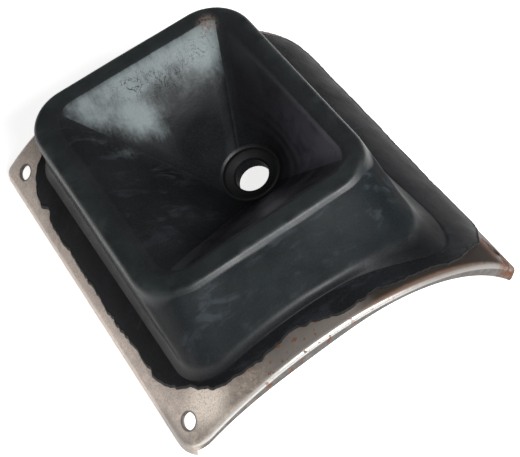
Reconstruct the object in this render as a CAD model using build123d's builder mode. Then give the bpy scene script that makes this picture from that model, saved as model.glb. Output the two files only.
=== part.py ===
"""Gear lever boot: a rubber moulding bonded to a saddle-shaped steel plate.

The plate sits astride a gearbox tunnel that runs along Y, so it is arched across X.  The rubber
boot stands on it, leaning to -X, and its four-sided funnel runs down to a thick round collar that
grips the gear lever.  +Z is up, the plate's side flanges rest on Z = 0, and the origin is under
the middle of the plate.
"""
from build123d import *

import os
from math import cos, radians, sin, sqrt

os.makedirs("parts", exist_ok=True)

# ---- driving dimensions, millimetres and degrees -------------------------------------------
# steel plate
plate_length = 161.6
plate_half_width = 78.7
tunnel_radius = 102.0  # outside of the plate's arch
crown_height = 41.5  # top of the arch above the flanges' lower edges
sheet = 1.5
rear_flange_drop = 6.0  # measured from the sheet's top
front_flange_drop = (3.2, 5.4, 6.8, 4.1, 3.6, 5.0, 5.4)  # at even steps from left to right
flange_reach = 75.0  # half the width of the front and rear flanges' arched lower edges
bend_radius = 2.2
front_left_corner = 9.0
rear_left_corner = 3.2
right_corners = 3.0
screw_angle = 46.0  # of the screw holes, from the crown
screw_y = 70.0
screw_hole_r = 3.3

# aperture in the plate, in plan: x and y extents
aperture_x = (-56.0, 33.0)
aperture_y = (-54.0, 60.0)
aperture_corner = 14.0

# rubber bonded to the plate, in plan
skirt_x = (-75.5, 73.4)
skirt_y = (-75.5, 73.0)
skirt_corner = 14.0
skirt_thickness = 1.8
pedestal_x = (-67.5, 44.5)
pedestal_y = (-66.0, 66.0)
pedestal_corner = 11.0
pedestal_height = 5.0

# rim: a plane that leans to -X, its middle, and the bead that runs round it
rim_tilt = 12.5
rim_centre = (-21.2, 14.4, 55.0)
rim_width = 102.2
rim_depth = 115.0
rim_corner = 19.0
mouth_width = 82.0
mouth_depth = 97.0
mouth_corner = 13.0
bead_height = 6.0
bead_round = 4.0
mouth_round = 5.0

# boot walls under the bead
wall = 3.0

# funnel and collar
mouth_shift = 1.0  # the left crest is wider than the right one
funnel_wall = 2.5
fold_centre = (-8.0, 9.0, 38.0)  # plane where the funnel's two rings meet
fold_tilt = 17.5
collar_tilt = 22.5
collar_centre = (1.6, 6.0, 28.0)
collar_r = 16.2
collar_land = 2.0  # ledge of the collar under the funnel's end
lever_bore_r = 7.2
collar_length = 9.0
collar_round = 1.5
running_gap = 0.3

axis_z = crown_height - tunnel_radius  # height of the arch's axis


def arch_z(x, radius):
    """Height of a cylinder of this radius about the arch's axis."""
    return axis_z + sqrt(radius**2 - x**2)


def leaning_plane(centre, tilt, shift=0.0):
    """A plane whose normal leans to -X by tilt degrees, moved along that normal by shift."""
    lean = radians(tilt)
    normal = Vector(-sin(lean), 0, cos(lean))
    origin = Vector(*centre) + normal * shift
    return Plane(origin=origin, x_dir=(cos(lean), 0, sin(lean)), z_dir=normal)


def saddle_block(half_width, half_length, radius, corners, bend, foot_z):
    """A closed block whose top is the arch, filleted round its top edges and corners.  corners:
    front left, rear left and both right ones."""
    side_z = arch_z(half_width, radius)
    with BuildPart() as block:
        with BuildSketch(Plane.XZ):
            with BuildLine():
                ThreePointArc((-half_width, side_z), (0, axis_z + radius), (half_width, side_z))
                Line((half_width, side_z), (half_width, foot_z))
                Line((half_width, foot_z), (-half_width, foot_z))
                Line((-half_width, foot_z), (-half_width, side_z))
            make_face()
        extrude(amount=half_length, both=True)
        left = block.edges().filter_by(Axis.Z).filter_by_position(Axis.X, -2 * half_width, 0)
        right = block.edges().filter_by(Axis.Z).filter_by_position(Axis.X, 0, 2 * half_width)
        front_left, rear_left = left.sort_by(Axis.Y)
        fillet(front_left, radius=corners[0])
        fillet(rear_left, radius=corners[1])
        fillet(right, radius=corners[2])
        top = block.faces().filter_by(GeomType.CYLINDER).sort_by(Axis.Z)[-1]
        fillet(top.edges(), radius=bend)
    return block.part


def flange_trim():
    """What is cut away under the front and rear flanges: the front one's edge is wavy."""
    steps = len(front_flange_drop) - 1
    foot_z = -5.0
    edge = []
    for i, drop in enumerate(front_flange_drop):
        x = flange_reach * (2 * i / steps - 1)
        edge.append((x, arch_z(x, tunnel_radius - drop)))
    with BuildPart() as trim:
        with BuildSketch(Plane.XZ):
            with BuildLine():
                Spline(*edge)
                Line(edge[-1], (flange_reach, foot_z))
                Line((flange_reach, foot_z), (-flange_reach, foot_z))
                Line((-flange_reach, foot_z), edge[0])
            make_face()
        extrude(amount=plate_length)
        rear_z = arch_z(flange_reach, tunnel_radius - rear_flange_drop)
        crown_z = axis_z + tunnel_radius - rear_flange_drop
        with BuildSketch(Plane.XZ):
            with BuildLine():
                ThreePointArc((-flange_reach, rear_z), (0, crown_z), (flange_reach, rear_z))
                Line((flange_reach, rear_z), (flange_reach, foot_z))
                Line((flange_reach, foot_z), (-flange_reach, foot_z))
                Line((-flange_reach, foot_z), (-flange_reach, rear_z))
            make_face()
        extrude(amount=-plate_length)
    return trim.part


def plan_outline(x_range, y_range, corner):
    """Rounded rectangle in plan, drawn in the sketch that is open."""
    middle = ((x_range[0] + x_range[1]) / 2, (y_range[0] + y_range[1]) / 2)
    with Locations(middle):
        RectangleRounded(x_range[1] - x_range[0], y_range[1] - y_range[0], corner)


def arch_layer(inner_radius, outer_radius):
    """A curved layer over the whole plate, between two radii."""
    reach = plate_half_width + 5
    with BuildPart() as layer:
        with BuildSketch(Plane.XZ):
            with BuildLine():
                outer_z = arch_z(reach, outer_radius)
                inner_z = arch_z(reach, inner_radius)
                ThreePointArc((-reach, outer_z), (0, axis_z + outer_radius), (reach, outer_z))
                Line((reach, outer_z), (reach, inner_z))
                ThreePointArc((reach, inner_z), (0, axis_z + inner_radius), (-reach, inner_z))
                Line((-reach, inner_z), (-reach, outer_z))
            make_face()
        extrude(amount=plate_length, both=True)
    return layer.part


def arch_core(radius):
    """Everything inside a cylinder about the arch's axis."""
    with BuildPart() as core:
        with BuildSketch(Plane.XZ):
            with Locations((0, axis_z)):
                Circle(radius)
        extrude(amount=plate_length, both=True)
    return core.part


def draped_outline(x_range, y_range, corner, radius):
    """Rounded rectangle in plan, laid over a cylinder about the arch's axis."""
    x0, x1 = x_range
    y0, y1 = y_range
    corner_steps = 6
    with BuildLine() as outline:
        for x in (x0, x1):
            Line((x, y0 + corner, arch_z(x, radius)), (x, y1 - corner, arch_z(x, radius)))
        for y in (y0, y1):
            left, right = x0 + corner, x1 - corner
            middle = (left + right) / 2
            ThreePointArc(
                (left, y, arch_z(left, radius)),
                (middle, y, arch_z(middle, radius)),
                (right, y, arch_z(right, radius)),
            )
        for x, across in ((x0 + corner, -1), (x1 - corner, 1)):
            for y, along in ((y0 + corner, -1), (y1 - corner, 1)):
                points = []
                for step in range(corner_steps + 1):
                    turn = radians(90 * step / corner_steps)
                    px = x + across * corner * cos(turn)
                    py = y + along * corner * sin(turn)
                    points.append((px, py, arch_z(px, radius)))
                Spline(*points)
    return outline.wires()[0]


def wall_block(inset):
    """Solid bounded by the walls: rim outline, down to the foot on the pedestal, down to Z = 0."""
    with BuildSketch(leaning_plane(rim_centre, rim_tilt, -bead_height)) as top:
        RectangleRounded(rim_width - 2 * inset, rim_depth - 2 * inset, rim_corner - inset)
    foot_x = (pedestal_x[0] + inset, pedestal_x[1] - inset)
    foot_y = (pedestal_y[0] + inset, pedestal_y[1] - inset)
    foot_corner = pedestal_corner - inset
    foot = draped_outline(foot_x, foot_y, foot_corner, tunnel_radius + pedestal_height - inset)
    with BuildSketch(Plane.XY) as base:
        plan_outline(foot_x, foot_y, foot_corner)
    rim_wire = top.sketch.face().outer_wire()
    base_wire = base.sketch.face().outer_wire()
    return Solid.make_loft([rim_wire, foot, base_wire], ruled=True)


def funnel_block(growth):
    """Solid with the funnel's inner shape, grown sideways for its outer skin."""
    slack = 0.02
    with BuildPart() as funnel:
        with BuildSketch(leaning_plane(rim_centre, rim_tilt)):
            with Locations((mouth_shift, 0)):
                RectangleRounded(
                    mouth_width + 2 * growth, mouth_depth + 2 * growth, mouth_corner + growth
                )
        reach = collar_r - collar_land + growth
        with BuildSketch(leaning_plane(collar_centre, collar_tilt, running_gap)):
            RectangleRounded(2 * reach, 2 * reach, reach - slack)
        loft(ruled=True)
    return funnel.part


# ---- steel plate ---------------------------------------------------------------------------
outside_corners = (front_left_corner, rear_left_corner, right_corners)
inside_corners = tuple(corner - sheet for corner in outside_corners)
plate_outside = saddle_block(
    plate_half_width, plate_length / 2, tunnel_radius, outside_corners, bend_radius, 0.0
)
plate_inside = saddle_block(
    plate_half_width - sheet, plate_length / 2 - sheet, tunnel_radius - sheet, inside_corners,
    bend_radius - sheet, -3.0,
)
flange_cut = flange_trim()
with BuildPart() as steel_plate:
    add(plate_outside)
    add(plate_inside, mode=Mode.SUBTRACT)
    add(flange_cut, mode=Mode.SUBTRACT)
    with BuildSketch(Plane.XY):
        plan_outline(aperture_x, aperture_y, aperture_corner)
    extrude(amount=2 * crown_height, mode=Mode.SUBTRACT)
    for side in (-1, 1):
        lean = radians(side * screw_angle)
        outward = Vector(sin(lean), 0, cos(lean))
        for y in (-screw_y, screw_y):
            middle = Vector(0, y, axis_z) + outward * tunnel_radius
            with BuildSketch(Plane(origin=middle, x_dir=(0, 1, 0), z_dir=outward)):
                Circle(screw_hole_r)
            extrude(amount=3 * sheet, both=True, mode=Mode.SUBTRACT)
steel_plate.part.label = "steel_plate"
export_step(steel_plate.part, "parts/steel_plate.step")

# ---- rubber bonded to the plate: skirt and pedestal ----------------------------------------
with BuildPart() as rubber_skirt:
    add(arch_layer(tunnel_radius, tunnel_radius + skirt_thickness))
    with BuildSketch(Plane.XY):
        plan_outline(skirt_x, skirt_y, skirt_corner)
    extrude(amount=2 * crown_height, mode=Mode.INTERSECT)
    with BuildSketch(Plane.XY):
        plan_outline(pedestal_x, pedestal_y, pedestal_corner)
    extrude(amount=2 * crown_height, mode=Mode.SUBTRACT)
rubber_skirt.part.label = "rubber_skirt"
export_step(rubber_skirt.part, "parts/rubber_skirt.step")

with BuildPart() as boot_pedestal:
    add(arch_layer(tunnel_radius, tunnel_radius + pedestal_height))
    with BuildSketch(Plane.XY):
        plan_outline(pedestal_x, pedestal_y, pedestal_corner)
    extrude(amount=2 * crown_height, mode=Mode.INTERSECT)
    with BuildSketch(Plane.XY):
        plan_outline(aperture_x, aperture_y, aperture_corner)
    extrude(amount=2 * crown_height, mode=Mode.SUBTRACT)
boot_pedestal.part.label = "boot_pedestal"
export_step(boot_pedestal.part, "parts/boot_pedestal.step")

# ---- rim bead: its inner side is the top of the funnel ----------------------------------------
funnel_outside = funnel_block(funnel_wall)
funnel_inside = funnel_block(0.0)
with BuildPart() as rim_bead:
    with BuildSketch(leaning_plane(rim_centre, rim_tilt, -bead_height)):
        RectangleRounded(rim_width, rim_depth, rim_corner)
    extrude(amount=bead_height)
    add(funnel_inside, mode=Mode.SUBTRACT)
    crest = rim_bead.faces().sort_by(Axis((0, 0, 0), leaning_plane(rim_centre, rim_tilt).z_dir))[-1]
    fillet(crest.outer_wire().edges(), radius=bead_round)
    crest = rim_bead.faces().sort_by(Axis((0, 0, 0), leaning_plane(rim_centre, rim_tilt).z_dir))[-1]
    fillet(crest.inner_wires()[0].edges(), radius=mouth_round)
rim_bead.part.label = "rim_bead"
export_step(rim_bead.part, "parts/rim_bead.step")

# ---- boot wall, from the pedestal up to the bead -------------------------------------------
wall_outside = wall_block(0.0)
wall_inside = wall_block(wall)
with BuildPart() as boot_wall:
    add(wall_outside)
    add(wall_inside, mode=Mode.SUBTRACT)
    add(arch_core(tunnel_radius + pedestal_height), mode=Mode.SUBTRACT)
boot_wall.part.label = "boot_wall"
export_step(boot_wall.part, "parts/boot_wall.step")

# ---- funnel, in two rings that stretch and fold, and the collar ----------------------------
bead_foot_plane = leaning_plane(rim_centre, rim_tilt, -bead_height)
fold_plane = leaning_plane(fold_centre, fold_tilt)
fold_plane_lower = leaning_plane(fold_centre, fold_tilt, -running_gap)
with BuildPart() as funnel_upper:
    add(funnel_outside)
    add(funnel_inside, mode=Mode.SUBTRACT)
    split(bisect_by=bead_foot_plane, keep=Keep.BOTTOM)
    split(bisect_by=fold_plane, keep=Keep.TOP)
funnel_upper.part.label = "funnel_upper"
export_step(funnel_upper.part, "parts/funnel_upper.step")

with BuildPart() as funnel_lower:
    add(funnel_outside)
    add(funnel_inside, mode=Mode.SUBTRACT)
    split(bisect_by=fold_plane_lower, keep=Keep.BOTTOM)
funnel_lower.part.label = "funnel_lower"
export_step(funnel_lower.part, "parts/funnel_lower.step")

with BuildPart() as lever_collar:
    with BuildSketch(leaning_plane(collar_centre, collar_tilt, -collar_length)):
        Circle(collar_r)
        Circle(lever_bore_r, mode=Mode.SUBTRACT)
    extrude(amount=collar_length)
    fillet(lever_collar.edges().filter_by(GeomType.CIRCLE), radius=collar_round)
lever_collar.part.label = "lever_collar"
export_step(lever_collar.part, "parts/lever_collar.step")
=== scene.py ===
import math

import bpy
import numpy as np
from mathutils import Matrix, Vector


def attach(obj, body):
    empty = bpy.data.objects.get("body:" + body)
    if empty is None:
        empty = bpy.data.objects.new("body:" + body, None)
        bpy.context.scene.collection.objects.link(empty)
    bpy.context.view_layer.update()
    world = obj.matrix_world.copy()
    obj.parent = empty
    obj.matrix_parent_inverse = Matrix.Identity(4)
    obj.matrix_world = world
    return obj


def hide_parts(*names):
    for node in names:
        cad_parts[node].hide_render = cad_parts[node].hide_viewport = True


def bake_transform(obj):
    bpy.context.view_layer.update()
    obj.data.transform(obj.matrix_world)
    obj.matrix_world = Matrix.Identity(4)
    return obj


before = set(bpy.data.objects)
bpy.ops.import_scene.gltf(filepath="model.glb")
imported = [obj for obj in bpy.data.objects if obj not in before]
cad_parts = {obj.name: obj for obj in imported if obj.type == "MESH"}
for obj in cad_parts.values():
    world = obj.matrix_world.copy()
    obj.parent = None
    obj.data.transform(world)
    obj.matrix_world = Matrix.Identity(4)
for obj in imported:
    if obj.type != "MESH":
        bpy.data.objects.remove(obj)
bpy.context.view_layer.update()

MM = 0.001

# ---- the boot's dimensions in millimetres, as in the CAD model --------------------------------
crown_height = 41.5
tunnel_radius = 102.0
axis_z = crown_height - tunnel_radius
rim_centre = np.array((-21.2, 14.4, 55.0))
rim_tilt = 12.5
rim_width = 102.2
rim_depth = 115.0
rim_corner = 19.0
mouth_width = 82.0
mouth_depth = 97.0
mouth_shift = 1.0
bead_height = 6.0
pedestal_x = (-67.5, 44.5)
pedestal_y = (-66.0, 66.0)
pedestal_corners = (11.0, 11.0, 13.0, 17.0)
pedestal_height = 5.0
aperture_x = (-56.0, 33.0)
aperture_y = (-54.0, 60.0)
aperture_corner = 14.0
skirt_x = (-76.0, 73.6)
skirt_y = (-76.8, 73.4)
skirt_corners = (12.0, 27.0, 25.0, 24.0)
skirt_thickness = 1.8
skirt_gap = 0.03  # under the skirt and the wall, above the plate
fold_centre = np.array((-8.0, 9.0, 38.0))
fold_tilt = 17.5
collar_centre = np.array((1.6, 6.0, 28.0))
collar_tilt = 22.5
collar_r = 16.2
bore_r = 7.2

# stations round the boot: TURN in each corner, SIDE along each straight side
TURN = 64
SIDE = 150
QUARTER = TURN + SIDE
ROUND = 4 * QUARTER


# ---- loops of stations ------------------------------------------------------------------------
def rounded_loop(width, depth, corners, centre=(0.0, 0.0)):
    """Stations round a rounded rectangle, from the right-rear corner through the rear side, left
    side, front side and right side. corners: one radius, or right-rear, left-rear, left-front,
    right-front."""
    if np.isscalar(corners):
        corners = (corners,) * 4
    signs = ((1, 1), (-1, 1), (-1, -1), (1, -1))
    arcs = []
    for turn, ((sx, sy), r) in enumerate(zip(signs, corners)):
        angle = np.radians(90 * (turn + np.linspace(0, 1, TURN + 1)))
        middle = (sx * (width / 2 - r), sy * (depth / 2 - r))
        arcs.append(np.stack((middle[0] + r * np.cos(angle), middle[1] + r * np.sin(angle)), 1))
    points = []
    for turn, arc in enumerate(arcs):
        after = arcs[(turn + 1) % 4][0]
        share = (np.arange(SIDE) / SIDE)[:, None]
        points.append(arc[:TURN])
        points.append(arc[TURN] + (after - arc[TURN]) * share)
    return np.concatenate(points) + np.array(centre)


def plan_loop(x_range, y_range, corners, grow=0.0):
    """Stations round a rounded rectangle in plan, offset outward by grow."""
    middle = ((x_range[0] + x_range[1]) / 2, (y_range[0] + y_range[1]) / 2)
    if np.isscalar(corners):
        corners = (corners,) * 4
    corners = tuple(max(c + grow, 1.0) for c in corners)
    width = x_range[1] - x_range[0] + 2 * grow
    depth = y_range[1] - y_range[0] + 2 * grow
    return rounded_loop(width, depth, corners, middle)


def round_loop(radius):
    """Stations round a circle. The funnel's valleys meet the collar at uneven angles."""
    valleys = (80.0, 170.0, 238.0, 300.0, 440.0)
    half = 14.0
    angles = []
    for turn in range(4):
        angles.append(valleys[turn] - half + 2 * half * np.arange(TURN) / TURN)
        first, last = valleys[turn] + half, valleys[turn + 1] - half
        angles.append(first + (last - first) * np.arange(SIDE) / SIDE)
    angle = np.radians(np.concatenate(angles))
    return radius * np.stack((np.cos(angle), np.sin(angle)), 1)


def lean(tilt):
    """The directions across and square to a plane that leans to -X by tilt degrees."""
    t = math.radians(tilt)
    across = np.array((math.cos(t), 0.0, math.sin(t)))
    normal = np.array((-math.sin(t), 0.0, math.cos(t)))
    return across, normal


def on_plane(loop, centre, tilt, height):
    """Stations on a plane that leans to -X."""
    across, normal = lean(tilt)
    along = np.array((0.0, 1.0, 0.0))
    up = np.broadcast_to(height, len(loop))[:, None] * normal
    return centre + loop[:, :1] * across + loop[:, 1:] * along + up


def on_arch(loop, height):
    """Stations laid over the plate, height above its outer surface."""
    z = axis_z + np.sqrt((tunnel_radius + height) ** 2 - loop[:, 0] ** 2)
    return np.column_stack((loop, z))


def on_ruling(first, last, centre, tilt):
    """Where the straight lines between two rings cross a leaning plane."""
    _, normal = lean(tilt)
    share = ((centre - first) @ normal) / ((last - first) @ normal)
    return first + (last - first) * share[:, None]


# ---- noise ------------------------------------------------------------------------------------
def lumps(points, size, seed):
    """Smooth noise from -1 to 1 whose lumps are about size across."""
    q = points / size
    cell = np.floor(q).astype(np.int64)
    f = q - cell
    f = f * f * (3 - 2 * f)
    total = np.zeros(len(points))
    for dx in (0, 1):
        for dy in (0, 1):
            for dz in (0, 1):
                h = (cell[:, 0] + dx) * 73856093 ^ (cell[:, 1] + dy) * 19349663
                h = (h ^ (cell[:, 2] + dz) * 83492791 ^ seed * 40503) & 0xFFFFFFFF
                h = ((h ^ (h >> 15)) * 2246822519) & 0xFFFFFFFF
                h = ((h ^ (h >> 13)) * 3266489917) & 0xFFFFFFFF
                value = ((h ^ (h >> 16)) & 0xFFFF) / 32767.5 - 1
                weight = f[:, 0] if dx else 1 - f[:, 0]
                weight = weight * (f[:, 1] if dy else 1 - f[:, 1])
                weight = weight * (f[:, 2] if dz else 1 - f[:, 2])
                total += value * weight
    return total


def step(low, high, value):
    """0 below low, 1 above high, smooth between."""
    t = np.clip((value - low) / (high - low), 0, 1)
    return t * t * (3 - 2 * t)


def bump_at(value, middle, width):
    """1 at middle, falling away on both sides."""
    return np.exp(-(((value - middle) / width) ** 2))


# ---- where each station is --------------------------------------------------------------------
station = np.arange(ROUND)
all_round = np.ones(ROUND)
REAR, LEFT, FRONT, RIGHT = range(4)


def side_weight(side):
    """1 along one side, falling to 0 round the corners at its ends."""
    place = station - side * QUARTER - TURN
    place = (place + ROUND / 2) % ROUND - ROUND / 2
    before = step(-TURN * 0.75, -TURN * 0.25, place)
    after = 1 - step(SIDE + TURN * 0.25, SIDE + TURN * 0.75, place)
    return before * after


def corner_weight(corner, spread):
    """1 in the middle of a corner, falling to 0 at spread corner lengths from it."""
    place = station - corner * QUARTER - TURN / 2
    place = (place + ROUND / 2) % ROUND - ROUND / 2
    return 1 - step(0.0, spread * TURN, np.abs(place))


# ---- torn outline of the skirt ----------------------------------------------------------------
def torn_outline():
    """The skirt's edge, moved inward by noise and by the photo's larger tears and bites."""
    loop = plan_loop(skirt_x, skirt_y, skirt_corners)
    ahead = np.roll(loop, -1, 0) - np.roll(loop, 1, 0)
    inward = np.stack((-ahead[:, 1], ahead[:, 0]), 1)
    inward /= np.maximum(np.linalg.norm(inward, axis=1), 1e-6)[:, None]
    flat = np.column_stack((loop, np.zeros(ROUND)))
    tear = 0.4 * lumps(flat, 9.0, 3) + 0.30 * lumps(flat, 4.2, 5) + 0.35 * lumps(flat, 1.7, 7)
    tear += 0.9 * np.maximum(lumps(flat, 2.3, 11) - 0.30, 0)
    tear += 0.9 * np.maximum(lumps(flat, 5.5, 12) - 0.5, 0)

    x, y = loop.T
    front = step(-55, -68, y)
    left = step(-50, -66, x)
    tear += front * 4.7 * step(-10, -30, x)  # the front edge is torn back on the left
    tear += front * 1.5 * bump_at(x, -31.5, 3.5)  # chipped bite
    tear -= front * 1.2 * bump_at(x, -45.0, 2.5)  # flap left between the bites
    tear += front * 1.6 * bump_at(x, 3.0, 4)  # shallow bite near the middle
    tear += front * 3.8 * step(40, 56, x)  # falls back towards the lifted corner
    tear += step(-55, -70, x) * step(30, 44, y) * 2.2 * bump_at(y, 45, 4)  # bite at the rear left
    tear += left * (3.0 * bump_at(y, -59, 9) + 1.0 * bump_at(y, -34, 14))  # left edge by the corner
    return loop + inward * tear[:, None]


# ---- the boot's profile, from the bore up the funnel, over the rim and down to the skirt --------
mouth_corners = (8.0, 11.0, 10.0, 9.0)  # the funnel's valleys are sharper than the rim's corners
mouth_place = (mouth_shift, 0.0)
crest_out = rounded_loop(rim_width - 0.8, rim_depth - 0.8, rim_corner)
crest_in = rounded_loop(mouth_width, mouth_depth, mouth_corners, mouth_place)
crest_under = rounded_loop(mouth_width + 5, mouth_depth + 5, [c + 2.5 for c in mouth_corners], mouth_place)
wall_top = rounded_loop(rim_width + 1.6, rim_depth + 1.8, rim_corner + 0.5, (0.8, -0.9))
wall_under = rounded_loop(rim_width - 8, rim_depth - 8, rim_corner - 4)

# the front of the rim is a narrow step over the long shelf, not a full bead
crest_out[:, 1] += 1.4 * side_weight(FRONT)
wall_top[:, 1] += 1.8 * side_weight(FRONT)
wall_drop = -7.4 + 5.5 * side_weight(FRONT)
wall_round = 9.0 - 6.0 * side_weight(FRONT)
out_round = 4.6 + 1.0 * side_weight(LEFT) - 2.4 * side_weight(FRONT)
in_round = 9.0 + 11.0 * side_weight(LEFT) - 6.5 * side_weight(FRONT)

_, rim_normal = lean(rim_tilt)
bead_foot = rim_centre - rim_normal * bead_height
ring_crest_in = on_plane(crest_in, rim_centre, rim_tilt, -0.15)
ring_collar = on_plane(round_loop(13.4), collar_centre, collar_tilt, 0.5)
ring_mouth = on_ruling(ring_crest_in, ring_collar, bead_foot, rim_tilt)
ring_fold = on_ruling(ring_crest_in, ring_collar, fold_centre, fold_tilt)
ring_crest_under = on_plane(crest_under, rim_centre, rim_tilt, 0.0)
ring_collar_under = on_plane(round_loop(collar_r + 0.3), collar_centre, collar_tilt, -2.6)
ring_mouth_under = on_ruling(ring_crest_under, ring_collar_under, bead_foot - rim_normal * 0.6, rim_tilt)
ring_fold_under = on_ruling(ring_crest_under, ring_collar_under, fold_centre, fold_tilt)
torn = torn_outline()


def collar_ring(radius, height):
    return on_plane(round_loop(radius), collar_centre, collar_tilt, height)


def rim_ring(loop, height):
    return on_plane(loop, rim_centre, rim_tilt, height)


def pad_ring(grow, height):
    return on_arch(plan_loop(pedestal_x, pedestal_y, pedestal_corners, grow), height)


def aperture_ring(grow, height):
    return on_arch(plan_loop(aperture_x, aperture_y, aperture_corner, grow), height)


soft_corner = corner_weight(RIGHT, 1.5)  # the pedestal's right-front corner is barely a step


def soften(ring, other):
    """A ring that turns into another one at the soft corner."""
    return ring + (other - ring) * soft_corner[:, None]


pad_top = soften(pad_ring(-0.8, pedestal_height - 0.2), pad_ring(-4.5, pedestal_height - 0.4))
pad_foot = soften(pad_ring(1.0, skirt_thickness), pad_ring(7.0, skirt_thickness))
foot_round = 0.8 + 9.0 * soft_corner

# each key: (name, ring, corner radius, divisions of the run that follows it)
keys = [
    ("bore_low", collar_ring(bore_r, -8.2), 0.8, 8),
    ("bore_top", collar_ring(bore_r, -1.8), 1.4, 5),
    ("land", collar_ring(11.3, 0.1), 1.2, 3),
    ("groove", collar_ring(12.4, -0.7), 0.8, 3),
    ("collar", ring_collar, 0.0, 20),
    ("fold", ring_fold, 0.0, 26),
    ("mouth", ring_mouth, 0.0, 7),
    ("crest_in", ring_crest_in, in_round, 4),
    ("crest_out", rim_ring(crest_out, 0.0), out_round, 3),
    ("wall_top", rim_ring(wall_top, wall_drop), wall_round, 36),
    ("pad_top", pad_top, 5.5 + foot_round, 4),
    ("pad_foot", pad_foot, foot_round, 12),
    ("skirt_top", on_arch(torn, skirt_thickness), 0.5, 2),
    ("skirt_low", on_arch(torn, skirt_gap), 0.3, 6),
    ("aperture_low", aperture_ring(0.0, skirt_gap), 0.6, 3),
    ("aperture_top", aperture_ring(1.0, 4.0), 1.5, 8),
    ("wall_in_low", pad_ring(-3.6, pedestal_height - 0.4), 4.0, 12),
    ("wall_in_top", rim_ring(wall_under, -bead_height - 0.6), 1.5, 3),
    ("mouth_under", ring_mouth_under, 0.0, 20),
    ("fold_under", ring_fold_under, 0.0, 14),
    ("collar_under", ring_collar_under, 0.0, 3),
    ("collar_side", collar_ring(collar_r, -3.6), 1.0, 3),
    ("collar_low", collar_ring(collar_r - 0.4, -9.0), 1.2, 4),
    ("collar_inner", collar_ring(bore_r + 1.0, -9.0), 0.6, 1),
]
ARC = 9  # rings in each rounded corner
HALF_ARC = ARC // 2
LONGEST_REACH = 0.46  # of a run, that one rounded corner may take


def round_off(before, ring, after, radius):
    """Where a rounded corner starts and ends, on the runs from the ring before and to the ring after."""
    arrive, leave = ring - before, after - ring
    a = np.linalg.norm(arrive, axis=1)
    b = np.linalg.norm(leave, axis=1)
    cosine = np.clip(np.sum(arrive * leave, 1) / (a * b), -1, 1)
    reach = radius * np.tan(np.arccos(cosine) / 2)
    reach = np.minimum(reach, LONGEST_REACH * np.minimum(a, b))[:, None]
    return ring - arrive / a[:, None] * reach, ring + leave / b[:, None] * reach


def profile(keys):
    """Closed profile at every station: rings, and the index of each key's ring."""
    count = len(keys)
    ends = [
        round_off(keys[k - 1][1], keys[k][1], keys[(k + 1) % count][1], keys[k][2]) for k in range(count)
    ]
    rings, index = [], {}
    for k, (name, ring, radius, divisions) in enumerate(keys):
        start, leave = ends[k]
        if np.any(radius):
            index[name] = len(rings) + HALF_ARC
            for t in np.linspace(0, 1, ARC):
                rings.append((1 - t) ** 2 * start + 2 * t * (1 - t) * ring + t * t * leave)
        else:
            index[name] = len(rings)
            rings.append(ring)
        arrive = ends[(k + 1) % count][0]
        for i in range(1, divisions):
            rings.append(leave + (arrive - leave) * i / divisions)
    return np.array(rings), index


rings, at = profile(keys)
LOOPS = len(rings)
row = np.arange(LOOPS)


def between(first, last):
    """Row numbers of the rings from one key to another."""
    return np.arange(at[first], at[last] + 1)


def span(first, last, fade):
    """1 for rings between two keys, fading out over some rings at both ends."""
    rise = step(at[first] - fade, at[first] + fade, row)
    return rise * (1 - step(at[last] - fade, at[last] + fade, row))


def column(row_mask, station_mask):
    """A mask for every row and station, from one for rows and one for stations."""
    return row_mask[:, None] * station_mask[None, :]


def surface_normals(grid):
    around = np.roll(grid, -1, 1) - np.roll(grid, 1, 1)
    along = np.roll(grid, -1, 0) - np.roll(grid, 1, 0)
    normal = np.cross(along, around)
    return normal / np.maximum(np.linalg.norm(normal, axis=2), 1e-9)[:, :, None]


def lumps_on_rings(size, seed):
    return lumps(rings.reshape(-1, 3), size, seed).reshape(LOOPS, ROUND)


# ---- shape the surface ------------------------------------------------------------------------
# the rubber is slack, most of all in the walls
slack = 0.55 * lumps_on_rings(26.0, 21) + 0.28 * lumps_on_rings(12.0, 23) + 0.10 * lumps_on_rings(5.0, 25)
rim_rows = span("crest_in", "wall_top", 6)
slack_rows = 0.75 * span("wall_top", "pad_top", 8) + 0.45 * span("collar", "mouth", 8) + 0.22 * rim_rows
smooth_normals = surface_normals(rings)
shaped = rings + smooth_normals * (slack * slack_rows[:, None])[:, :, None]

# both faces of the skirt follow the plate's arch between their ends
skirt_faces = (("pad_foot", "skirt_top", skirt_thickness), ("skirt_low", "aperture_low", skirt_gap))
for first, last, height in skirt_faces:
    laid = np.arange(at[first] + HALF_ARC, at[last] - HALF_ARC + 1)
    shaped[laid, :, 2] = axis_z + np.sqrt((tunnel_radius + height) ** 2 - shaped[laid, :, 0] ** 2)

# the skirt's right-front corner lifts off the plate, and the rest of its edge is uneven
x_edge, y_edge = plan_loop(skirt_x, skirt_y, skirt_corners).T
lift = 1.6 * (step(44, 74, x_edge) * step(-50, -72, y_edge)) ** 1.3
skirt_part = (row > at["pad_foot"]) & (row < at["aperture_low"] - 3)
edge_share = step(at["pad_foot"], at["skirt_top"], row)
under_share = 1 - step(at["skirt_low"], at["skirt_low"] + 5, row)
lift_rows = np.where(skirt_part, np.minimum(edge_share, under_share), 0)
ripple_rows = np.where(skirt_part & (row < at["skirt_low"]), 0.6 * edge_share, 0)
ripple = (0.25 * lumps_on_rings(14.0, 31) + 0.15) * ripple_rows[:, None]
radial = np.stack((shaped[:, :, 0], np.zeros((LOOPS, ROUND)), rings[:, :, 2] - axis_z), 2)
radial /= np.linalg.norm(radial, axis=2)[:, :, None]
shaped = shaped + radial * (column(lift_rows, lift) + ripple)[:, :, None]

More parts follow.
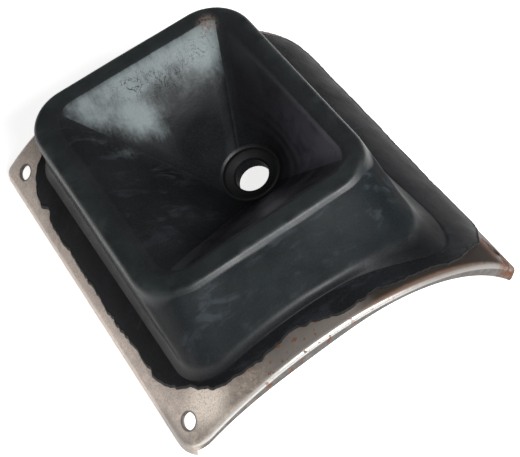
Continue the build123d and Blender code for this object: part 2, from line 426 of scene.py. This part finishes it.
# small folds round the collar, on the funnel's front and right faces
climb = np.clip((row - at["collar"]) / (at["mouth"] - at["collar"]), 0, 1)
fold_rows = bump_at(climb, 0.26, 0.20) * (climb > 0) * (climb < 1)
folds = column(np.sin(40.0 * climb) * fold_rows, side_weight(FRONT) + 0.7 * side_weight(RIGHT))
shaped = shaped + smooth_normals * (0.16 * folds)[:, :, None]
normals = surface_normals(shaped)


# ---- masks that the rubber's material reads ---------------------------------------------------
inside = (row >= at["collar"]) & (row <= at["crest_in"] - 1)
depth_share = np.zeros(LOOPS)  # 0 at the collar, 1 at the rim
depth_share[inside] = (row[inside] - at["collar"]) / (at["crest_in"] - at["collar"])
side_share = ((station - TURN / 2) % QUARTER) / QUARTER  # 0 to 1 from one corner's middle to the next
on_side = ((station - TURN // 2) % ROUND) // QUARTER


def patch(side, share, width, depth, height):
    """A soft patch on one of the funnel's faces: its middle and half-sizes along and up the face."""
    along = ((side_share - share) / width) ** 2
    up = ((depth_share - depth) / height) ** 2
    soft = np.exp(-(up[:, None] + along[None, :]))
    return soft * column(inside, on_side == side)


front, left, rear, right = (side_weight(side) for side in (FRONT, LEFT, REAR, RIGHT))
wall = span("wall_top", "pad_top", 5)
skirt = span("pad_top", "skirt_top", 8)
deep = inside * (1 - step(0.5, 0.9, depth_share))

# pale patches, mostly on the funnel's rear face: a painted sheen where that face catches the light, and a
# painted highlight streak along the left-rear valley
painted_sheen = 1.20 * patch(REAR, 0.12, 0.16, 0.82, 0.24) + 1.20 * patch(REAR, 0.72, 0.12, 0.62, 0.15)
painted_sheen += 0.55 * patch(REAR, 0.40, 0.28, 0.92, 0.14) + 0.65 * patch(REAR, 0.90, 0.12, 0.82, 0.18)
painted_sheen += 0.22 * patch(REAR, 0.45, 0.60, 0.90, 0.22) + 0.55 * patch(REAR, 0.62, 0.20, 0.86, 0.14)
painted_sheen += 0.12 * patch(REAR, 0.45, 0.50, 0.60, 0.30)
painted_sheen += 0.30 * patch(LEFT, 0.10, 0.10, 0.62, 0.20) + 0.05 * patch(LEFT, 0.55, 0.30, 0.60, 0.30)
painted_sheen += 0.10 * patch(FRONT, 0.50, 0.40, 0.40, 0.25)

cracks = patch(REAR, 0.60, 0.11, 0.85, 0.09) + patch(REAR, 0.43, 0.13, 0.77, 0.10)
cracks += 0.8 * patch(REAR, 0.16, 0.12, 0.84, 0.10)

# thin dust on the walls and the rim
dust = column(wall, 0.50 * front + 0.5 * rear + right * (0.10 + 0.75 * side_share))
dust += column(rim_rows, 0.30 + 0.3 * rear) + 0.15 * column(inside, rear)
dust += 0.25 * column(rim_rows * (row > at["crest_in"] + 2), front + left)

scuff = 0.8 * patch(LEFT, 0.14, 0.14, 0.60, 0.35) + 0.5 * patch(LEFT, 0.6, 0.35, 0.6, 0.4)
scuff += column(wall, 0.75 * front + 0.60 * right + 0.3 * left)
scuff += column(0.15 * rim_rows + 0.3 * span("pad_foot", "skirt_top", 4), all_round)

# edges that are rubbed smooth and lighter: real wear, and a painted highlight along the rim's outer edge
# and the pedestal's ridge
edge_rows = bump_at(row, at["crest_out"], 4) + 0.12 * bump_at(row, at["pad_top"], 4)
edge_rows += 0.4 * bump_at(row, at["land"], 3)

# dull rubber that reflects little: walls, skirt, the bottom of the funnel and the collar
matte = 1.2 * patch(REAR, 0.50, 0.70, 0.16, 0.42)
matte += column((row <= at["bore_top"] + 3) + 0.8 * bump_at(row, at["land"], 6), all_round)
matte += column(np.maximum(wall, skirt), 0.80 + 0.15 * right - 0.15 * left)
matte += 0.6 * column(rim_rows, corner_weight(FRONT, 1.2)) + 0.2 * column(wall, soft_corner)
matte += 0.5 * column(inside, left) + column(deep, front + right + corner_weight(RIGHT, 0.7))

# black torn edge, and black round the collar's top
torn_rows = (row >= at["skirt_top"] - 4) & (row <= at["skirt_low"])
rip_rows = torn_rows + 0.6 * bump_at(row, at["land"], 8)

# violet haze on the right and front faces
haze = 1.3 * patch(RIGHT, 0.10, 0.32, 0.65, 0.45) + 1.2 * patch(FRONT, 0.60, 0.42, 0.60, 0.45)
haze += 0.25 * patch(RIGHT, 0.45, 0.40, 0.55, 0.40) + 0.25 * patch(FRONT, 0.30, 0.40, 0.55, 0.50)

masks = {
    "painted_sheen": painted_sheen,
    "dust": np.clip(dust, 0, 1),
    "scuff": scuff,
    "edge": column(edge_rows, all_round),
    "rip": column(rip_rows, all_round),
    "cracks": cracks,
    "matte": np.clip(matte, 0, 1),
    "haze": np.clip(haze, 0, 1),
}


# ---- pieces -----------------------------------------------------------------------------------
def make_piece(name, rows, material):
    """A mesh from a run of rings, with the masks as attributes and the whole boot's normals."""
    rows = rows % LOOPS
    vertices = shaped[rows].reshape(-1, 3) * MM
    pick = (rows[:, None] * ROUND + station[None, :]).reshape(-1)
    i = np.arange(len(rows) - 1)[:, None] * ROUND
    j = station[None, :]
    k = (j + 1) % ROUND
    faces = np.stack((i + j, i + ROUND + j, i + ROUND + k, i + k), 2).reshape(-1, 4)
    mesh = bpy.data.meshes.new(name)
    mesh.from_pydata(vertices.tolist(), [], faces.tolist())
    mesh.polygons.foreach_set("use_smooth", np.ones(len(faces), bool))
    for label, mask in masks.items():
        attribute = mesh.attributes.new(label, "FLOAT", "POINT")
        attribute.data.foreach_set("value", mask.reshape(-1)[pick].astype(np.float32))
    rest = mesh.attributes.new("mould", "FLOAT_VECTOR", "POINT")
    rest.data.foreach_set("vector", vertices.astype(np.float32).reshape(-1))
    mesh.normals_split_custom_set_from_vertices(normals.reshape(-1, 3)[pick].tolist())
    mesh.materials.append(material)
    piece = bpy.data.objects.new(name, mesh)
    bpy.context.scene.collection.objects.link(piece)
    return piece


# ---- materials --------------------------------------------------------------------------------
class Graph:
    """A material's node tree, with short ways to add the nodes that are used here."""

    def __init__(self, name):
        self.material = bpy.data.materials.new(name)
        self.material.use_nodes = True
        self.tree = self.material.node_tree
        self.tree.nodes.clear()
        out = self.tree.nodes.new("ShaderNodeOutputMaterial")
        self.shader = self.tree.nodes.new("ShaderNodeBsdfPrincipled")
        self.link(self.shader.outputs[0], out.inputs["Surface"])

    def link(self, a, b):
        self.tree.links.new(a, b)

    def put(self, socket, value):
        """Links another node's socket, or sets a plain value."""
        if isinstance(value, bpy.types.NodeSocket):
            self.link(value, socket)
        else:
            socket.default_value = value

    def attribute(self, name, output="Fac"):
        node = self.tree.nodes.new("ShaderNodeAttribute")
        node.attribute_name = name
        return node.outputs[output]

    def math(self, operation, a, b=0.0, c=0.0, clamp=False):
        node = self.tree.nodes.new("ShaderNodeMath")
        node.operation = operation
        node.use_clamp = clamp
        for socket, value in zip(node.inputs, (a, b, c)):
            self.put(socket, value)
        return node.outputs[0]

    def vector_math(self, operation, vector, value=(0.0, 0.0, 0.0), output="Vector"):
        node = self.tree.nodes.new("ShaderNodeVectorMath")
        node.operation = operation
        self.link(vector, node.inputs[0])
        node.inputs[1].default_value = value
        return node.outputs[output]

    def stretch(self, vector, scale):
        return self.vector_math("MULTIPLY", vector, scale)

    def distance(self, vector, point):
        return self.vector_math("DISTANCE", vector, point, "Value")

    def split(self, vector):
        node = self.tree.nodes.new("ShaderNodeSeparateXYZ")
        self.link(vector, node.inputs[0])
        return node.outputs

    def noise(self, vector, size, detail=3.0, roughness=0.55, distortion=0.0):
        """Noise from 0 to 1 with lumps of size millimetres."""
        node = self.tree.nodes.new("ShaderNodeTexNoise")
        self.link(vector, node.inputs["Vector"])
        node.inputs["Scale"].default_value = 1.0 / size
        node.inputs["Detail"].default_value = detail
        node.inputs["Roughness"].default_value = roughness
        node.inputs["Distortion"].default_value = distortion
        return node.outputs[0]

    def between(self, value, low, high, to_low=0.0, to_high=1.0):
        """value from low to high becomes to_low to to_high, smoothly and no further."""
        node = self.tree.nodes.new("ShaderNodeMapRange")
        node.interpolation_type = "SMOOTHSTEP"
        self.put(node.inputs["Value"], value)
        node.inputs["From Min"].default_value = low
        node.inputs["From Max"].default_value = high
        node.inputs["To Min"].default_value = to_low
        node.inputs["To Max"].default_value = to_high
        return node.outputs[0]

    def mix(self, share, a, b):
        node = self.tree.nodes.new("ShaderNodeMix")
        node.data_type = "RGBA"
        self.put(node.inputs[0], share)
        self.put(node.inputs[6], a)
        self.put(node.inputs[7], b)
        return node.outputs[2]

    def both(self, a, b):
        """The product of two masks."""
        return self.math("MULTIPLY", a, b)

    def bump(self, height, distance, strength):
        node = self.tree.nodes.new("ShaderNodeBump")
        node.inputs["Strength"].default_value = strength
        node.inputs["Distance"].default_value = distance
        self.link(height, node.inputs["Height"])
        return node.outputs[0]

    def surface(self, **values):
        for name, value in values.items():
            self.put(self.shader.inputs[name.replace("_", " ")], value)
        return self.material


def rubber_material():
    g = Graph("aged_rubber")
    mould = g.stretch(g.attribute("mould", "Vector"), (1000.0, 1000.0, 1000.0))
    dark, charcoal = (0.0055, 0.0058, 0.0068, 1), (0.0100, 0.0105, 0.0122, 1)
    violet, grey_green = (0.092, 0.090, 0.110, 1), (0.0165, 0.0240, 0.0250, 1)
    pale, scuffed = (0.200, 0.235, 0.240, 1), (0.050, 0.058, 0.070, 1)
    flecked, rubbed_glint_grey = (0.050, 0.053, 0.055, 1), (0.050, 0.058, 0.058, 1)
    brown, crevice, black = (0.150, 0.115, 0.100, 1), (0.006, 0.007, 0.007, 1), (0.005, 0.005, 0.005, 1)
    brown_place = (14.5, 61.5, 61.0)  # rub mark by the mouth's right-rear corner

    broad = g.noise(mould, 30.0, 3.0, 0.5)
    cloud = g.noise(mould, 11.0, 4.0, 0.55, 0.5)
    grain = g.noise(mould, 1.3, 3.0, 0.65)
    brushed = g.noise(g.stretch(mould, (0.3, 1.0, 0.6)), 7.0, 5.0, 0.65, 1.2)
    streak = g.noise(g.stretch(mould, (1.0, 0.22, 0.22)), 1.3, 3.0, 0.65)

    # painted sheen in soft patches with a grainy edge
    painted_sheen = g.attribute("painted_sheen")
    sheen_film = g.math("MULTIPLY_ADD", g.math("SUBTRACT", cloud, 0.5), 1.1, painted_sheen)
    sheen_film = g.math("MULTIPLY_ADD", g.math("SUBTRACT", grain, 0.5), 0.35, sheen_film)
    sheen_film = g.math("MULTIPLY_ADD", g.math("SUBTRACT", streak, 0.5), 0.5, sheen_film)
    sheen_film = g.both(g.between(sheen_film, 0.10, 1.30), g.between(painted_sheen, 0.02, 0.25))

    # dust, and dry scuffs in broken smears
    dust = g.both(g.attribute("dust"), g.between(cloud, 0.25, 0.75, 0.55, 1.0))
    smear = g.both(g.between(brushed, 0.50, 0.64), g.between(cloud, 0.40, 0.58))
    smear = g.math("MULTIPLY", smear, g.attribute("scuff"), clamp=True)

    # short cracks: thin broken lines where a noise crosses its middle value
    wander = g.noise(g.stretch(mould, (1.0, 0.6, 0.6)), 5.0, 3.0, 0.6, 1.5)
    line = g.between(g.math("ABSOLUTE", g.math("SUBTRACT", wander, 0.5)), 0.005, 0.030, 1.0, 0.0)
    broken = g.both(line, g.between(grain, 0.35, 0.55))
    crack = g.math("MULTIPLY", broken, g.attribute("cracks"), clamp=True)

    edge = g.attribute("edge")
    rip = g.attribute("rip")
    haze = g.both(g.attribute("haze"), g.between(cloud, 0.15, 0.6, 0.3, 1.0))
    fleck = g.between(g.noise(mould, 0.6, 2.0, 0.7), 0.45, 0.70, 0.0, 0.13)
    edge_wear_and_glint = g.math("MULTIPLY", edge, g.between(cloud, 0.35, 0.7), clamp=True)
    rub = g.both(g.between(g.distance(mould, brown_place), 6.0, 1.5), g.between(grain, 0.35, 0.6))

    colour = g.mix(g.between(broad, 0.35, 0.65), dark, charcoal)
    colour = g.mix(haze, colour, violet)
    colour = g.mix(dust, colour, grey_green)
    # painted sheen: pale patches where the funnel's faces catch the light
    colour = g.mix(sheen_film, colour, pale)
    colour = g.mix(g.both(smear, 0.55), colour, scuffed)
    colour = g.mix(fleck, colour, flecked)
    # rubbed edges, lighter: partly a painted highlight
    colour = g.mix(g.both(edge_wear_and_glint, 0.45), colour, rubbed_glint_grey)
    colour = g.mix(g.both(crack, 0.85), colour, crevice)
    colour = g.mix(rub, colour, brown)
    colour = g.mix(g.both(rip, 0.8), colour, black)

    roughness = g.between(cloud, 0.3, 0.75, 0.40, 0.50)
    for mask, change in ((dust, 0.12), (sheen_film, -0.06), (edge, -0.08), (smear, 0.12)):
        roughness = g.math("MULTIPLY_ADD", mask, change, roughness)
    roughness = g.math("MULTIPLY_ADD", rip, 0.3, roughness, clamp=True)

    height = g.math("MULTIPLY_ADD", cloud, 0.7, g.both(grain, 0.13))
    height = g.math("MULTIPLY_ADD", crack, -0.4, height)
    height = g.math("MULTIPLY_ADD", g.noise(mould, 0.4, 2.0, 0.5), 0.06, height)
    normal = g.bump(height, 0.0005, 0.55)
    shine = g.math("MULTIPLY_ADD", g.attribute("matte"), -0.44, 0.45, clamp=True)
    return g.surface(Base_Color=colour, Roughness=roughness, Normal=normal, Specular_IOR_Level=shine)


def steel_material():
    g = Graph("bare_steel")
    place = g.tree.nodes.new("ShaderNodeTexCoord").outputs["Object"]
    place = g.stretch(place, (1000.0, 1000.0, 1000.0))
    x, y, _ = g.split(place)
    _, ny, nz = g.split(g.tree.nodes.new("ShaderNodeNewGeometry").outputs["Normal"])
    dull_paint, pale_paint = (0.54, 0.465, 0.425, 1), (0.70, 0.61, 0.555, 1)
    brushed_grey, dark_middle = (0.27, 0.235, 0.22, 1), (0.058, 0.049, 0.043, 1)
    edge_grey, side_shade_grey = (0.20, 0.18, 0.165, 1), (0.17, 0.16, 0.15, 1)
    cream, glint_cream = (0.86, 0.70, 0.55, 1), (0.95, 0.83, 0.72, 1)
    speckle, bright_steel = (0.16, 0.125, 0.105, 1), (0.60, 0.59, 0.57, 1)
    flange_shade_grey, primer_black = (0.060, 0.055, 0.050, 1), (0.022, 0.017, 0.014, 1)
    rust_brown, rust_red = (0.150, 0.090, 0.060, 1), (0.125, 0.046, 0.020, 1)
    stain, hole_shade_black = (0.14, 0.11, 0.09, 1), (0.045, 0.040, 0.036, 1)
    glint_place = (-66.0, -70.0, 17.5)
    hole_place = (73.9, 70.0, 10.9)  # the right-rear hole, halfway through the sheet

    cloud = g.noise(place, 16.0, 5.0, 0.6)
    grime = g.noise(place, 4.0, 5.0, 0.65, 0.5)
    speck = g.noise(place, 0.6, 2.0, 0.7)
    brushed = g.noise(g.stretch(place, (1.0, 0.08, 1.0)), 0.7, 3.0, 0.6)

    # worn paint, darker away from the left-hand side and along the front
    colour = g.mix(g.between(cloud, 0.35, 0.65), dull_paint, pale_paint)
    colour = g.mix(g.between(brushed, 0.35, 0.7, 0.0, 0.25), colour, brushed_grey)
    middle = g.both(g.between(x, -64.0, -50.0), g.between(cloud, 0.25, 0.60, 0.7, 1.0))
    colour = g.mix(g.both(middle, 0.90), colour, dark_middle)
    near_edge = g.both(g.between(y, -69.0, -78.0), 0.85)
    colour = g.mix(near_edge, colour, edge_grey)

    # creamy residue near the torn rubber on the left, a painted highlight by the left-front screw hole,
    # and specks all over
    residue = g.both(g.between(x, -38.0, -56.0), g.between(grime, 0.40, 0.70, 0.1, 0.45))
    colour = g.mix(residue, colour, cream)
    # painted highlight: a cream glint where the left-front corner catches the light
    painted_glint = g.between(g.distance(place, glint_place), 12.0, 3.0, 0.0, 0.95)
    colour = g.mix(painted_glint, colour, glint_cream)
    colour = g.mix(g.between(speck, 0.47, 0.64, 0.0, 0.38), colour, speckle)
    # painted shade on the left bend towards the front
    side_bend_shade = g.both(g.between(x, -75.8, -78.2), g.between(y, -50.0, -62.0, 0.0, 0.55))
    colour = g.mix(side_bend_shade, colour, side_shade_grey)

    # polished along the front bend
    front_bend = g.both(g.between(ny, -0.38, -0.62), g.between(nz, 0.10, 0.35))
    polished = g.both(front_bend, g.between(grime, 0.25, 0.45))
    polished = g.both(polished, g.between(x, 35.0, -5.0, 0.15, 1.0))
    colour = g.mix(g.both(polished, 0.8), colour, bright_steel)

    # painted shade on the front flange below its bend, in broken patches
    upright = g.both(g.between(ny, -0.80, -0.97), g.between(nz, 0.30, 0.10))
    flange_shade = g.both(upright, g.between(grime, 0.25, 0.60, 0.65, 1.0))
    colour = g.mix(flange_shade, colour, flange_shade_grey)

    # old primer and glue in front of the rubber, on the right half, with a brown line at the bend
    ahead = g.both(g.between(y, -60.0, -68.0), g.between(x, 72.0, 66.0))
    right = g.between(g.math("MULTIPLY_ADD", cloud, 14.0, x), -6.0, 10.0)
    flat = g.between(g.math("MULTIPLY_ADD", grime, 2.0, y), -78.6, -77.2)
    primer = g.both(g.both(ahead, right), flat)
    colour = g.mix(g.both(primer, 0.95), colour, primer_black)
    near_bend = g.both(right, g.between(y, -77.5, -79.0))
    brown = g.both(near_bend, g.between(nz, 0.70, 0.90))
    colour = g.mix(g.both(brown, 0.7), colour, rust_brown)

    # rust at the right-hand corner and in spots by the torn rubber
    corner = g.both(g.between(x, 62.0, 72.0), g.between(y, -58.0, -68.0))
    rust = g.both(corner, g.between(grime, 0.38, 0.55))
    near = g.both(g.between(y, -68.0, -72.0), g.between(x, 0.0, -20.0))
    near = g.both(near, g.between(x, -58.0, -42.0))
    spots = g.both(near, g.between(g.noise(place, 3.2, 3.0, 0.6), 0.58, 0.66))
    rust = g.math("ADD", rust, spots, clamp=True)
    colour = g.mix(g.both(rust, 0.85), colour, rust_red)
    colour = g.mix(g.between(grime, 0.62, 0.80, 0.0, 0.35), colour, stain)

    # painted shade: dark rims round the four screw holes, which mirror each other
    from_hole = g.distance(g.vector_math("ABSOLUTE", place), hole_place)
    hole_shade = g.between(from_hole, 4.3, 3.6, 0.0, 0.85)
    colour = g.mix(hole_shade, colour, hole_shade_black)

    crust = g.math("MAXIMUM", primer, rust)
    cover = g.math("MAXIMUM", crust, g.math("MAXIMUM", flange_shade, hole_shade))
    metal = g.math("MULTIPLY_ADD", cover, -0.3, 0.3, clamp=True)
    metal = g.math("MULTIPLY_ADD", polished, 0.6, metal, clamp=True)
    roughness = g.between(cloud, 0.4, 0.9, 0.46, 0.58)
    roughness = g.math("MULTIPLY_ADD", polished, -0.06, roughness)
    roughness = g.math("MULTIPLY_ADD", cover, 0.30, roughness, clamp=True)
    height = g.math("MULTIPLY_ADD", cloud, 1.0, g.both(speck, 0.12))
    height = g.math("MULTIPLY_ADD", crust, g.both(grime, 0.6), height)
    normal = g.bump(height, 0.0003, 0.5)
    dull = g.math("MAXIMUM", crust, g.both(middle, g.between(ny, -0.55, -0.30, 0.0, 0.9)))
    shine = g.math("MULTIPLY_ADD", dull, -0.42, 0.5, clamp=True)
    return g.surface(
        Base_Color=colour, Metallic=metal, Roughness=roughness, Normal=normal, Specular_IOR_Level=shine
    )


rubber = rubber_material()
steel = steel_material()

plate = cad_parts["steel_plate"]
plate.data.materials.clear()
plate.data.materials.append(steel)

shell = make_piece("boot_shell", between("mouth", "mouth_under"), rubber)
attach(shell, "boot")
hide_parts("rubber_skirt", "boot_pedestal", "boot_wall", "rim_bead")

closing = np.arange(at["collar_under"], LOOPS + at["collar"] + 1)  # past the last ring to the first ones
collar = make_piece("collar_ring", closing, rubber)


def add_skin(name, high, low, node):
    """One face of a funnel ring between two of its rings."""
    rows = between(low, high) if at[low] < at[high] else between(high, low)
    piece = make_piece(name, rows, rubber)
    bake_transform(piece)
    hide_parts(node)


# a top face and a back face for each funnel ring, each over its own run of rings
for face, ending in (("top", ""), ("back", "_under")):
    mouth, fold, foot = (key + ending for key in ("mouth", "fold", "collar"))
    add_skin("funnel_upper_" + face, mouth, fold, "funnel_upper")
    add_skin("funnel_lower_" + face, fold, foot, "funnel_lower")

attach(collar, "collar")
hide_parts("lever_collar")


# ---- floor, light and camera ------------------------------------------------------------------
def add_floor():
    """A pale floor just below the plate's lowest edges."""
    g = Graph("pale_floor")
    mesh = bpy.data.meshes.new("floor")
    reach, z = 4.0, -0.00005
    corners = [(-reach, -reach, z), (reach, -reach, z), (reach, reach, z), (-reach, reach, z)]
    mesh.from_pydata(corners, [], [(0, 1, 2, 3)])
    white = (0.86, 0.86, 0.86, 1)
    mesh.materials.append(
        g.surface(Base_Color=white, Roughness=0.9, Emission_Color=white, Emission_Strength=0.9)
    )
    floor = bpy.data.objects.new("floor", mesh)
    bpy.context.scene.collection.objects.link(floor)


def add_light(name, towards, distance, size, power):
    """A softbox that looks at the middle of the boot from a direction."""
    light = bpy.data.lights.new(name, "AREA")
    light.shape = "RECTANGLE"
    light.size, light.size_y = size
    light.energy = power
    lamp = bpy.data.objects.new(name, light)
    aim = Vector(towards).normalized()
    lamp.location = aim * distance + Vector(boot_middle)
    lamp.rotation_euler = aim.to_track_quat("Z", "Y").to_euler()
    bpy.context.scene.collection.objects.link(lamp)


def add_camera(azimuth, elevation, roll, distance, aim, focal, shift):
    """Camera on a sphere about a point: angles in degrees, lengths in metres, focal in millimetres."""
    a, e, r = (math.radians(v) for v in (azimuth, elevation, roll))
    back = Vector((math.sin(a) * math.cos(e), -math.cos(a) * math.cos(e), math.sin(e)))
    right = Vector((math.cos(a), math.sin(a), 0))
    up = back.cross(right)
    right, up = math.cos(r) * right + math.sin(r) * up, -math.sin(r) * right + math.cos(r) * up
    view = Matrix((right, up, back)).transposed().to_4x4()
    view.translation = Vector(aim) + back * distance
    camera = bpy.data.objects.new("camera", bpy.data.cameras.new("camera"))
    camera.matrix_world = view
    camera.data.lens = focal
    camera.data.sensor_width = 36.0
    camera.data.shift_x, camera.data.shift_y = shift
    camera.data.clip_start = 0.01
    bpy.context.scene.collection.objects.link(camera)
    bpy.context.scene.camera = camera


boot_middle = (0, 0, 0.03)
add_floor()
add_light("key", (0.12, -0.75, 0.64), 0.80, (0.50, 0.34), 9.0)
add_light("left", (-0.80, -0.45, 0.50), 0.9, (0.4, 0.3), 0.4)
world = bpy.data.worlds.new("studio")
world.use_nodes = True
background = world.node_tree.nodes["Background"]
background.inputs["Color"].default_value = (1.0, 1.0, 1.0, 1)
background.inputs["Strength"].default_value = 0.14
bpy.context.scene.world = world
bpy.context.scene.view_settings.view_transform = "Standard"

add_camera(-34.38, 51.96, 2.11, 0.4331, (0, 0, 0.005), 69.86, (0.0119, -0.0199))
